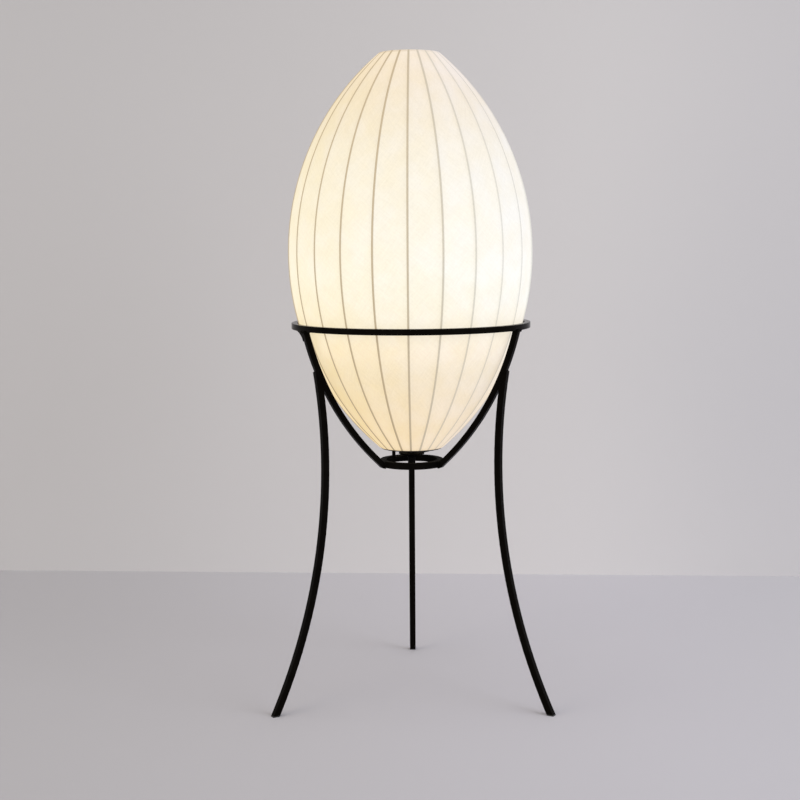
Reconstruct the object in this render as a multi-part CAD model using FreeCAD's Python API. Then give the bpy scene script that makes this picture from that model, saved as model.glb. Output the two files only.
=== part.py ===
"""Egg-shaped floor lamp: a wire and skin shade that drops into a welded three-legged stand.

Millimetres, +Z up. The origin is on the floor, on the lamp's upright axis. The front is towards -Y.
Outlines are drawn in the XZ plane, where x is the distance from the axis.
"""
import FreeCAD
import Part
import math
import os

from FreeCAD import Vector

# Stand
BAR = 10.0                    # side of the square bar of the upper ring and the ribs
LEG_BAR = 11.0                # side of the square bar of the legs and the lower ring
BAR_CORNER = 1.0              # rounded edge of a bar
BAR_TAIL = 15.0               # straight end of a bent bar
RING_HEIGHT = 646.0           # upper ring's middle above the floor
FOOT_CIRCLE = 532.6           # diameter of the circle through the feet
LEG_BEND_RADIUS = 934.7       # bow of each leg
LEG_JOINT_DROP = 72.0         # leg's top end below the upper ring's middle
LEG_STEP = 2.2                # leg's top end stands this far outside the rib's middle
RIB_FLARE = 1.5               # rib's top stands this far outside the upper ring's middle
RIB_GAP = 10.4                # rib to shade, halfway down the cradle
RIB_TOE = 3.0                 # rib's middle stops this far outside the lower ring
LOWER_RING_DIAMETER = 99.0    # at the middle of the bar
LOWER_RING_GAP = 19.2         # lower ring's top to the underside of the shade
FOOT_PAD = 2.0                # thickness of the pad under each leg
LEG_AZIMUTHS = {"left": 210.0, "right": 330.0, "back": 90.0}

# Shade
SHADE_DIAMETER = 418.0        # over the skin, across the wires
SHADE_HEIGHT = 667.0          # over the two hoops
RIM_DIAMETER = 100.6          # at the middle of each hoop's wire
SEAT_DROP = 120.5             # widest part of the shade above the upper ring's middle
SEAT_CLEARANCE = 0.4          # shade to upper ring
WIRE_COUNT = 23
WIRE_DIAMETER = 3.0
FRONT = 270.0                 # azimuth of the front, in degrees
WIRE_TURN = -1.2              # degrees from the front to the nearest wire
SKIN = 0.8
SKIN_CLEARANCE = 0.4          # skin to wires

# Strap, plate and stem that carry the lampholder
STRAP_AZIMUTH = 233.0
STRAP_WIDTH = 6.0
STRAP_THICKNESS = 2.0
STRAP_BEND = 3.0              # inside radius of its two bends
STRAP_EYE = 20.0              # round middle of the strap
STRAP_CLEARANCE = 7.2         # strap's underside to the lower ring's top
PLATE_DIAMETER = 44.0
PLATE_THICKNESS = 2.0
STEM_DIAMETER = 10.0
STEM_BORE = 7.0
STEM_LENGTH = 254.0
STEM_TAIL = 13.0              # stem below the strap
THREAD_CLEARANCE = 0.1        # all round, on threads drawn smooth
NUT_ACROSS_FLATS = 14.0
NUT_HEIGHT = 4.0
BUSH_DIAMETER = 13.0
BUSH_BORE = 7.4
BUSH_LIP = 6.0                # bush below the stem's lower end
BUSH_ROUND = 1.2              # rounded mouth

# Lampholder
NECK_DIAMETER = 16.0
NECK_LENGTH = 10.0
HOLDER_CAP_HEIGHT = 26.0
HOLDER_WALL = 2.2
HOLDER_LIP = 2.0
LIP_CLEARANCE = 1.5
INSULATION_GAP = 3.9          # threaded shell to holder body
CORE_HEIGHT = 10.0
CORE_CLEARANCE = 0.25
CORE_SEAT = 1.8               # width of the rim that the core rests on
SHELL_WALL = 0.4
SHELL_GAP = 1.0               # threaded shell's top below the lip
CONTACT_DIAMETER = 8.0
CONTACT_HEIGHT = 2.5
TERMINAL_SPREAD = 18.0        # between the two terminal screws
SCREW_DIAMETER = 3.0
SCREW_HEAD = 5.5
SCREW_HEAD_HEIGHT = 2.5
SCREW_LENGTH = 6.0
SCREW_CLEARANCE = 0.1
GRUB_DIAMETER = 4.0

# Bulb
BULB_CAP_DIAMETER = 26.0
BULB_CAP_HEIGHT = 21.0
BULB_CAP_WALL = 0.5
BULB_CLEARANCE = 0.45         # bulb cap to the threaded shell
CONTACT_GAP = 0.3             # bulb's tip to the centre contact
TIP_DIAMETER = 9.0
TIP_HEIGHT = 1.5
INSULATOR_HEIGHT = 4.0
INSULATOR_STEP = 1.8          # insulator inside the cap's outer edge
BULB_GAP = 0.8                # bulb housing to the holder's top
SPIGOT_LENGTH = 12.0          # housing inside the bulb cap
SPIGOT_CLEARANCE = 0.1
HOUSING_HEIGHT = 38.0
HOUSING_WALL = 2.4
HOUSING_WAIST = 3.5           # how far the housing's side curves inwards
GLOBE_DIAMETER = 60.0
GLOBE_WALL = 1.2
GLOBE_SEAT_DIAMETER = 57.0
BOARD_DIAMETER = 48.0
BOARD_THICKNESS = 1.6
BOARD_CLEARANCE = 0.3
BOARD_RECESS = 4.0            # board's seat below the housing's rim
BOARD_LEDGE = 1.8
DRIVER_WIDTH = 18.0
DRIVER_LENGTH = 38.0

ORIGIN = Vector(0, 0, 0)
ACROSS = Vector(0, 1, 0)      # square to the plane of the outlines
UP = Vector(0, 0, 1)


# Helpers
def at(x, z):
    """A point of an outline."""
    return Vector(x, 0, z)


def line(start, end):
    return Part.LineSegment(start, end).toShape()


def arc(start, middle, end):
    return Part.Arc(start, middle, end).toShape()


def face(*edges):
    return Part.Face(Part.Wire(list(edges)))


def polygon(*points):
    return Part.Face(Part.makePolygon(list(points) + [points[0]]))


def turned(outline):
    """A solid of revolution about the lamp's axis."""
    return outline.revolve(ORIGIN, UP, 360)


def tube(outer, inner, low, high):
    """A plain ring or tube, by its radii and its two heights."""
    return turned(polygon(at(inner, low), at(outer, low), at(outer, high), at(inner, high)))


def rod(radius, low, high):
    return Part.makeCylinder(radius, high - low, at(0, low))


def dome(radius, base, tip):
    """A spherical cap from a flat base to its tip, which may point up or down."""
    rise = tip - base
    ball = (radius ** 2 + rise ** 2) / (2 * rise)
    half_angle = math.asin(radius / abs(ball)) / 2
    middle = at(abs(ball) * math.sin(half_angle), tip - ball + ball * math.cos(half_angle))
    return turned(face(
        line(at(0, base), at(radius, base)),
        arc(at(radius, base), middle, at(0, tip)),
        line(at(0, tip), at(0, base)),
    ))


def slab(low, high):
    """Everything between two heights."""
    reach = FOOT_CIRCLE + SHADE_DIAMETER
    return Part.makeBox(2 * reach, 2 * reach, high - low, Vector(-reach, -reach, low))


def turn_to(shape, azimuth):
    """A copy turned about the lamp's axis."""
    copy = shape.copy()
    copy.rotate(ORIGIN, UP, azimuth)
    return copy


def bar_section(side, centre, outward, across):
    """The rounded square of a bar, by its side, its middle and its two directions."""
    half = side / 2
    flat = half - BAR_CORNER
    diagonal = flat + BAR_CORNER / math.sqrt(2)

    def corner_point(u, v):
        return centre + outward * u + across * v

    edges = []
    for u, v in ((1, 1), (-1, 1), (-1, -1), (1, -1)):
        before, after = (half * u, flat * v), (flat * u, half * v)
        if u * v < 0:
            before, after = after, before
        edges.append(arc(corner_point(*before), corner_point(diagonal * u, diagonal * v), corner_point(*after)))
    sides = []
    for index, edge in enumerate(edges):
        following = edges[(index + 1) % len(edges)]
        sides.append(edge)
        sides.append(line(edge.lastVertex().Point, following.firstVertex().Point))
    return face(*sides)


def bent_bar(side, centre, radius, start, end, start_run, end_run):
    """Bar bent to an arc in the XZ plane, between two angles in degrees from +X towards +Z.

    Each end runs on straight by the length given for it.
    """
    def section_at(angle):
        turn = math.radians(angle)
        outward = at(math.cos(turn), math.sin(turn))
        onward = at(-math.sin(turn), math.cos(turn))
        return bar_section(side, centre + outward * radius, outward, ACROSS), onward

    first, first_onward = section_at(start)
    last, last_onward = section_at(end)
    bar = first.revolve(centre, ACROSS * -1, end - start)
    if start_run:
        bar = bar.fuse(first.extrude(first_onward * -start_run))
    if end_run:
        bar = bar.fuse(last.extrude(last_onward * end_run))
    return bar


def angle_of(point, centre):
    return math.degrees(math.atan2(point.z - centre.z, point.x - centre.x))


# Shape of the shade: one arc from hoop to hoop, the same for every wire
wire_radius = WIRE_DIAMETER / 2
equator = RING_HEIGHT + SEAT_DROP
shade_low = equator - SHADE_HEIGHT / 2
shade_high = equator + SHADE_HEIGHT / 2
low_hoop = shade_low + wire_radius
high_hoop = shade_high - wire_radius
hoop_radius = RIM_DIAMETER / 2
skin_offset = wire_radius + SKIN_CLEARANCE + SKIN
wire_start = at(hoop_radius, low_hoop)
wire_end = at(hoop_radius, high_hoop)
wire_circle = arc(wire_start, at(SHADE_DIAMETER / 2 - skin_offset, equator), wire_end).Curve
ridge_bend = wire_circle.Radius + skin_offset
wire_pitch = 360.0 / WIRE_COUNT
first_wire = FRONT + WIRE_TURN


def ridge_radius(height):
    """Outside of the skin over a wire."""
    return wire_circle.Center.x + math.sqrt(ridge_bend ** 2 - (height - equator) ** 2)


# Heights and arcs of the stand
ring_radius = ridge_radius(RING_HEIGHT + BAR / 2) + SEAT_CLEARANCE + BAR / 2
ring_underside = RING_HEIGHT - BAR / 2
lower_ring_radius = LOWER_RING_DIAMETER / 2
lower_ring_top = shade_low - LOWER_RING_GAP
lower_ring_height = lower_ring_top - LEG_BAR / 2
lower_ring_underside = lower_ring_top - LEG_BAR
lower_ring_outside = lower_ring_radius + LEG_BAR / 2


def rib_path():
    """Arc of a cradle rib: under the upper ring, past the shade, to the side of the lower ring."""
    top = at(ring_radius + RIB_FLARE, ring_underside)
    toe = at(lower_ring_outside + RIB_TOE, lower_ring_height)
    centre = wire_circle.Center
    middle_angle = math.radians((angle_of(top, centre) + angle_of(toe, centre)) / 2)
    reach = ridge_bend + RIB_GAP + BAR / 2
    middle = centre + at(math.cos(middle_angle), math.sin(middle_angle)) * reach
    path = arc(top, middle, toe).Curve
    return path.Center, path.Radius, angle_of(toe, path.Center), angle_of(top, path.Center)


rib_centre, rib_bend, rib_toe_angle, rib_top_angle = rib_path()


def leg_path():
    """Arc of a leg, bowed inwards, from the floor to the outer side of its rib."""
    joint_height = RING_HEIGHT - LEG_JOINT_DROP
    rib_reach = math.sqrt(rib_bend ** 2 - (joint_height - rib_centre.z) ** 2)
    top = at(rib_centre.x + rib_reach + LEG_STEP, joint_height)
    foot = at(FOOT_CIRCLE / 2, 0)
    chord = top - foot
    outward = at(chord.z, -chord.x).normalize()
    sagitta_arm = math.sqrt(LEG_BEND_RADIUS ** 2 - (chord.Length / 2) ** 2)
    centre = (top + foot) * 0.5 + outward * sagitta_arm
    return centre, angle_of(top, centre) % 360, angle_of(foot, centre) % 360


leg_centre, leg_top_angle, leg_foot_angle = leg_path()

# Heights of the lampholder and the bulb, from the strap upwards
strap_low = lower_ring_top + STRAP_CLEARANCE
plate_low = strap_low + STRAP_THICKNESS
plate_high = plate_low + PLATE_THICKNESS
stem_radius = STEM_DIAMETER / 2
threaded_bore = stem_radius + THREAD_CLEARANCE
stem_low = strap_low - STEM_TAIL
stem_high = stem_low + STEM_LENGTH
holder_low = stem_high - NECK_LENGTH
holder_rim = holder_low + HOLDER_CAP_HEIGHT
core_high = holder_rim + CORE_HEIGHT
tip_low = core_high + CONTACT_HEIGHT + CONTACT_GAP
insulator_low = tip_low + TIP_HEIGHT
bulb_cap_low = insulator_low + INSULATOR_HEIGHT
housing_low = bulb_cap_low + BULB_CAP_HEIGHT
holder_high = housing_low - BULB_GAP
housing_high = housing_low + HOUSING_HEIGHT
board_low = housing_high - BOARD_RECESS

# Radii of the lampholder and the bulb, from the bulb cap outwards
bulb_cap_radius = BULB_CAP_DIAMETER / 2
shell_inner = bulb_cap_radius + BULB_CLEARANCE
shell_outer = shell_inner + SHELL_WALL
holder_inner = shell_outer + INSULATION_GAP
holder_outer = holder_inner + HOLDER_WALL
core_radius = holder_inner - CORE_CLEARANCE
rim_inner = core_radius - CORE_SEAT


# Stand
def make_ring(side, radius, height):
    return turned(bar_section(side, at(radius, height), Vector(1, 0, 0), UP))


def make_cradle_rib():
    """Rib at azimuth 0, cut flat under the upper ring and coped to the side of the lower one."""
    tail = math.degrees(BAR_TAIL / rib_bend)
    run = 2 * BAR_TAIL
    bar = bent_bar(BAR, rib_centre, rib_bend, rib_toe_angle + tail, rib_top_angle - tail, run, run)
    ring_side = rod(lower_ring_outside, lower_ring_underside, ring_underside)
    return bar.common(slab(lower_ring_underside, ring_underside)).cut(ring_side)


def make_leg_and_pad():
    """Leg at azimuth 0, coped to the rib's outer face, and the pad under it."""
    tail = math.degrees(BAR_TAIL / LEG_BEND_RADIUS)
    bar = bent_bar(LEG_BAR, leg_centre, LEG_BEND_RADIUS, leg_top_angle, leg_foot_angle - tail, 0, 2 * BAR_TAIL)
    rib_side = Part.makeCylinder(rib_bend + BAR / 2, 2 * LEG_BAR, rib_centre - ACROSS * LEG_BAR, ACROSS)
    leg = bar.common(slab(FOOT_PAD, RING_HEIGHT)).cut(rib_side)
    pad = bar.common(slab(0, FOOT_PAD))
    return leg, pad


def make_stand():
    rib = make_cradle_rib()
    leg, pad = make_leg_and_pad()
    nodes = {
        "upper_ring": make_ring(BAR, ring_radius, RING_HEIGHT),
        "lower_ring": make_ring(LEG_BAR, lower_ring_radius, lower_ring_height),
    }
    for side, azimuth in LEG_AZIMUTHS.items():
        nodes["cradle_rib_" + side] = turn_to(rib, azimuth)
        nodes["leg_" + side] = turn_to(leg, azimuth)
        nodes["foot_pad_" + side] = turn_to(pad, azimuth)
    return nodes


# Shade
def make_skin_panel():
    """Skin between two wires, at azimuth 0: flat from wire to wire, bowed from hoop to hoop."""
    flatness = math.cos(math.pi / WIRE_COUNT)
    outer_low = at(flatness * ridge_radius(low_hoop), low_hoop)
    outer_high = at(flatness * ridge_radius(high_hoop), high_hoop)
    outer = arc(outer_low, at(flatness * SHADE_DIAMETER / 2, equator), outer_high)
    inner_bend = outer.Curve.Radius - SKIN

    def inner_point(height):
        return at(outer.Curve.Center.x + math.sqrt(inner_bend ** 2 - (height - equator) ** 2), height)

    section = face(
        outer,
        line(outer_high, inner_point(high_hoop)),
        arc(inner_point(high_hoop), inner_point(equator), inner_point(low_hoop)),
        line(inner_point(low_hoop), outer_low),
    )
    section.translate(Vector(0, -SHADE_DIAMETER / 2, 0))
    strip = section.extrude(Vector(0, SHADE_DIAMETER, 0))
    side = SHADE_DIAMETER * math.tan(math.pi / WIRE_COUNT)
    wedge = polygon(
        at(0, shade_low),
        Vector(SHADE_DIAMETER, -side, shade_low),
        Vector(SHADE_DIAMETER, side, shade_low),
    ).extrude(Vector(0, 0, SHADE_HEIGHT))
    return strip.common(wedge)


def make_skin():
    """A panel for each gap between two wires, edge to edge over the wires."""
    panel = make_skin_panel()
    panels = []
    for index in range(WIRE_COUNT):
        panels.append(turn_to(panel, first_wire + (index + 0.5) * wire_pitch))
    return Part.makeCompound(panels)


def make_wire():
    """Wire at azimuth 0, with its ends square against the hoops."""
    centre = wire_circle.Center
    start = angle_of(wire_start, centre) + math.degrees(wire_radius / wire_circle.Radius)
    turn = math.radians(start)
    outward = at(math.cos(turn), math.sin(turn))
    onward = at(-math.sin(turn), math.cos(turn))
    rim = Part.makeCircle(wire_radius, centre + outward * wire_circle.Radius, onward)
    return Part.Face(Part.Wire(rim)).revolve(centre, ACROSS * -1, -2 * start)


def make_strap(hoop):
    """Strap across the lower hoop, bent down at both ends, with the stem's hole."""
    outer = hoop_radius + STRAP_THICKNESS / 2
    inner = outer - STRAP_THICKNESS
    outer_bend = STRAP_BEND + STRAP_THICKNESS
    slope = 1 - math.sqrt(0.5)

    def profile(x_end, low, bend, sign):
        """The bent edge on one side: from the hoop down, round the bend and onto the flat run."""
        return (
            at(sign * x_end, low_hoop),
            at(sign * x_end, low + bend),
            at(sign * (x_end - bend * slope), low + bend * slope),
            at(sign * (x_end - bend), low),
        )

    edges = []
    for x_end, low, bend in ((outer, strap_low, outer_bend), (inner, plate_low, STRAP_BEND)):
        right = profile(x_end, low, bend, 1)
        left = profile(x_end, low, bend, -1)
        edges.append(line(right[0], right[1]))
        edges.append(arc(right[1], right[2], right[3]))
        edges.append(line(right[3], left[3]))
        edges.append(arc(left[3], left[2], left[1]))
        edges.append(line(left[1], left[0]))
    for sign in (1, -1):
        edges.append(line(at(sign * inner, low_hoop), at(sign * outer, low_hoop)))
    outline = Part.Face(Part.Wire(Part.sortEdges(edges)[0]))
    outline.translate(Vector(0, -STRAP_WIDTH / 2, 0))
    strap = outline.extrude(Vector(0, STRAP_WIDTH, 0)).fuse(rod(STRAP_EYE / 2, strap_low, plate_low))
    hole = rod(threaded_bore, strap_low, plate_low)
    return turn_to(strap.cut(hole), STRAP_AZIMUTH).cut(hoop).removeSplitter()


def make_nut(low):
    radius = NUT_ACROSS_FLATS / math.sqrt(3)
    corners = []
    for index in range(6):
        angle = math.radians(60 * index)
        corners.append(Vector(radius * math.cos(angle), radius * math.sin(angle), low))
    nut = polygon(*corners).extrude(Vector(0, 0, NUT_HEIGHT))
    return nut.cut(rod(threaded_bore, low, low + NUT_HEIGHT))


def make_bush():
    """Cord bush on the stem's lower end, with a rounded mouth for the cord."""
    high = strap_low - NUT_HEIGHT
    low = stem_low - BUSH_LIP
    outer = BUSH_DIAMETER / 2
    bore = BUSH_BORE / 2
    slope = BUSH_ROUND * (1 - math.sqrt(0.5))
    return turned(face(
        line(at(bore + BUSH_ROUND, low), at(outer, low)),
        line(at(outer, low), at(outer, high)),
        line(at(outer, high), at(threaded_bore, high)),
        line(at(threaded_bore, high), at(threaded_bore, stem_low)),
        line(at(threaded_bore, stem_low), at(bore, stem_low)),
        line(at(bore, stem_low), at(bore, low + BUSH_ROUND)),
        arc(at(bore, low + BUSH_ROUND), at(bore + slope, low + slope), at(bore + BUSH_ROUND, low)),
    ))


def make_shade():
    hoops = [Part.makeTorus(hoop_radius, wire_radius, at(0, height)) for height in (low_hoop, high_hoop)]
    wire = make_wire()
    nodes = {"shade_skin": make_skin(), "shade_bottom_hoop": hoops[0], "shade_top_hoop": hoops[1]}
    for index in range(WIRE_COUNT):
        nodes["shade_wire_%02d" % (index + 1)] = turn_to(wire, first_wire + index * wire_pitch)
    nodes["holder_strap"] = make_strap(hoops[0])
    nodes["holder_plate"] = tube(PLATE_DIAMETER / 2, threaded_bore, plate_low, plate_high)
    nodes["stem_tube"] = tube(stem_radius, STEM_BORE / 2, stem_low, stem_high)
    nodes["stem_nuts"] = Part.makeCompound([make_nut(strap_low - NUT_HEIGHT), make_nut(plate_high)])
    nodes["cord_bush"] = make_bush()
    return nodes


# Lampholder
def make_holder_cap():
    """Cap that screws onto the stem, with the grub screw's hole in its neck."""
    neck = NECK_DIAMETER / 2
    rise = holder_outer - neck
    cap = turned(polygon(
        at(threaded_bore, holder_low),
        at(neck, holder_low),
        at(neck, stem_high - HOLDER_WALL),
        at(holder_outer, stem_high - HOLDER_WALL + rise),
        at(holder_outer, holder_rim),
        at(rim_inner, holder_rim),
        at(rim_inner, stem_high + rim_inner - threaded_bore),
        at(threaded_bore, stem_high),
    ))
    return cap.cut(grub_rod(GRUB_DIAMETER / 2))


def grub_rod(radius):
    """A radial rod through one side of the neck, from the stem's surface to the neck's."""
    height = holder_low + NECK_LENGTH / 2 - HOLDER_WALL / 2
    length = NECK_DIAMETER / 2 - threaded_bore
    full = Part.makeCylinder(radius, length + radius, at(stem_radius, height), Vector(1, 0, 0))
    return full.common(tube(NECK_DIAMETER / 2, threaded_bore, holder_low, stem_high))


def terminal_screws(clearance):
    """The two terminal screws, head down, or the space for them."""
    screws = []
    for side in (1, -1):
        place = Vector(0, side * TERMINAL_SPREAD / 2, 0)
        shank = rod(SCREW_DIAMETER / 2 + clearance, holder_rim, holder_rim + SCREW_LENGTH)
        head = rod(SCREW_HEAD / 2 + clearance, holder_rim - SCREW_HEAD_HEIGHT, holder_rim)
        screw = shank.fuse(head)
        screw.translate(place)
        screws.append(screw)
    return Part.makeCompound(screws)


def make_holder():
    lip_radius = bulb_cap_radius + LIP_CLEARANCE
    lip_low = holder_high - HOLDER_LIP
    body = turned(polygon(
        at(holder_inner, holder_rim),
        at(holder_outer, holder_rim),
        at(holder_outer, holder_high),
        at(lip_radius, holder_high),
        at(lip_radius, lip_low),
        at(holder_inner, lip_low),
    ))
    return {
        "holder_cap": make_holder_cap(),
        "holder_grub_screw": grub_rod(GRUB_DIAMETER / 2 - SCREW_CLEARANCE),
        "holder_body": body,
        "holder_core": rod(core_radius, holder_rim, core_high).cut(terminal_screws(SCREW_CLEARANCE)),
        "holder_thread_shell": tube(shell_outer, shell_inner, core_high, lip_low - SHELL_GAP),
        "holder_centre_contact": dome(CONTACT_DIAMETER / 2, core_high, core_high + CONTACT_HEIGHT),
        "holder_terminal_screws": terminal_screws(0),
    }


# Bulb
def make_bulb_cap():
    inner = bulb_cap_radius - BULB_CAP_WALL
    flange = bulb_cap_radius - INSULATOR_STEP - BULB_CAP_WALL
    return turned(polygon(
        at(flange, bulb_cap_low),
        at(bulb_cap_radius, bulb_cap_low),
        at(bulb_cap_radius, housing_low),
        at(inner, housing_low),
        at(inner, bulb_cap_low + BULB_CAP_WALL),
        at(flange, bulb_cap_low + BULB_CAP_WALL),
    ))


def make_insulator():
    return turned(polygon(
        at(0, insulator_low),
        at(TIP_DIAMETER / 2, insulator_low),
        at(bulb_cap_radius - INSULATOR_STEP, bulb_cap_low),
        at(0, bulb_cap_low),
    ))


def make_housing():
    """Flared housing with a spigot in the bulb cap, a ledge for the board and a rim for the globe."""
    spigot = bulb_cap_radius - BULB_CAP_WALL - SPIGOT_CLEARANCE
    bore = spigot - HOUSING_WALL
    rim = GLOBE_SEAT_DIAMETER / 2
    seat = BOARD_DIAMETER / 2 + BOARD_CLEARANCE
    ledge = BOARD_DIAMETER / 2 - BOARD_LEDGE
    outer_middle = at((bulb_cap_radius + rim) / 2 - HOUSING_WAIST, (housing_low + housing_high) / 2)
    inner_middle = at((bore + ledge) / 2 - HOUSING_WAIST, (housing_low + board_low) / 2)
    return turned(face(
        line(at(spigot, housing_low), at(bulb_cap_radius, housing_low)),
        arc(at(bulb_cap_radius, housing_low), outer_middle, at(rim, housing_high)),
        line(at(rim, housing_high), at(seat, housing_high)),
        line(at(seat, housing_high), at(seat, board_low)),
        line(at(seat, board_low), at(ledge, board_low)),
        arc(at(ledge, board_low), inner_middle, at(bore, housing_low)),
        line(at(bore, housing_low), at(bore, housing_low - SPIGOT_LENGTH)),
        line(at(bore, housing_low - SPIGOT_LENGTH), at(spigot, housing_low - SPIGOT_LENGTH)),
        line(at(spigot, housing_low - SPIGOT_LENGTH), at(spigot, housing_low)),
    ))


def make_globe():
    """Opal globe, a little more than half a ball, on the housing's rim."""
    radius = GLOBE_DIAMETER / 2
    centre = housing_high + math.sqrt(radius ** 2 - (GLOBE_SEAT_DIAMETER / 2) ** 2)

    def around(shell_radius, angle):
        return at(shell_radius * math.cos(angle), centre + shell_radius * math.sin(angle))

    def foot(shell_radius):
        return at(math.sqrt(shell_radius ** 2 - (centre - housing_high) ** 2), housing_high)

    inner = radius - GLOBE_WALL
    return turned(face(
        arc(foot(radius), around(radius, math.pi / 4), at(0, centre + radius)),
        line(at(0, centre + radius), at(0, centre + inner)),
        arc(at(0, centre + inner), around(inner, math.pi / 4), foot(inner)),
        line(foot(inner), foot(radius)),
    ))


def make_bulb():
    driver_place = Vector(-DRIVER_WIDTH / 2, -BOARD_THICKNESS / 2, board_low - DRIVER_LENGTH)
    return {
        "bulb_tip_contact": dome(TIP_DIAMETER / 2, insulator_low, tip_low),
        "bulb_cap_insulator": make_insulator(),
        "bulb_cap_shell": make_bulb_cap(),
        "bulb_housing": make_housing(),
        "bulb_driver_board": Part.makeBox(DRIVER_WIDTH, BOARD_THICKNESS, DRIVER_LENGTH, driver_place),
        "bulb_light_board": rod(BOARD_DIAMETER / 2, board_low, board_low + BOARD_THICKNESS),
        "bulb_globe": make_globe(),
    }


def main():
    os.makedirs("parts", exist_ok=True)
    for nodes in (make_stand(), make_shade(), make_holder(), make_bulb()):
        for name, shape in nodes.items():
            shape.exportStep(os.path.join("parts", name + ".step"))


main()
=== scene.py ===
"""Looks of the egg-shaped floor lamp: a glowing skin on wires, in a welded stand of square black bar.

Metres, +Z up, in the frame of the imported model. The front is towards -Y.
"""
import logging
import math
from dataclasses import dataclass, field
from enum import Enum
from typing import Dict, List, Mapping, Optional, Sequence, Tuple, Union

import bmesh
import bpy
from mathutils import Matrix, Vector
from mathutils.bvhtree import BVHTree


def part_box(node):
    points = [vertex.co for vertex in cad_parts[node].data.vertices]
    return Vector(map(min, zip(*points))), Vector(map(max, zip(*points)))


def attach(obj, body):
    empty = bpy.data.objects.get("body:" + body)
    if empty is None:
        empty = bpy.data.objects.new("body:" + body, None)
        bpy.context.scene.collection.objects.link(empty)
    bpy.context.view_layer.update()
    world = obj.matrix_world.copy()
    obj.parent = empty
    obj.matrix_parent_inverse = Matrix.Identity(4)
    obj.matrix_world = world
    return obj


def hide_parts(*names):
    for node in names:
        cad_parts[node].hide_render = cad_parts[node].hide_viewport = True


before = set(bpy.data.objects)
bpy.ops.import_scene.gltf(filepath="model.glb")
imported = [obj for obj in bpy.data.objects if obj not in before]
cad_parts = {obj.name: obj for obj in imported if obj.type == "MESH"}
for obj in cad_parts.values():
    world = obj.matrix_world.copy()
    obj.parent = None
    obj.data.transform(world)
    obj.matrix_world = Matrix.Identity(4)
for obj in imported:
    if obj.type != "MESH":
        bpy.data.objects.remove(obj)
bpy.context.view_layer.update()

MM = 0.001
TURN = 2 * math.pi
SAME_POINT = 0.002 * MM
NO_LENGTH = 0.001 * MM

Colour = Tuple[float, float, float]
Limits = Tuple[float, float]
Point = Tuple[float, float, float]
Material = bpy.types.Material
Node = bpy.types.Node
Piece = bpy.types.Object
Socket = bpy.types.NodeSocket
log = logging.getLogger("egg_lamp")


class Body(str, Enum):
    """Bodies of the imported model."""

    STAND = "stand"
    SHADE = "shade"
    BULB = "bulb"


class Side(str, Enum):
    """The three legs of the stand."""

    LEFT = "left"
    RIGHT = "right"
    BACK = "back"


# Node trees
class Term:
    """A number in a node tree, which takes part in formulas."""

    def __init__(self, graph: "Graph", socket: Socket) -> None:
        """Keeps the socket that gives the number."""
        self.graph = graph
        self.socket = socket

    def __add__(self, other: "Value") -> "Term":
        """Sum."""
        return self.graph.math("ADD", self, other)

    def __sub__(self, other: "Value") -> "Term":
        """Difference."""
        return self.graph.math("SUBTRACT", self, other)

    def __rsub__(self, other: "Value") -> "Term":
        """Difference."""
        return self.graph.math("SUBTRACT", other, self)

    def __mul__(self, other: "Value") -> "Term":
        """Product."""
        return self.graph.math("MULTIPLY", self, other)

    def __truediv__(self, other: "Value") -> "Term":
        """Quotient."""
        return self.graph.math("DIVIDE", self, other)

    __radd__ = __add__
    __rmul__ = __mul__


Value = Union[float, Sequence[float], Socket, Material, Term]
Inputs = Mapping[Union[str, int], Value]


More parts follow.
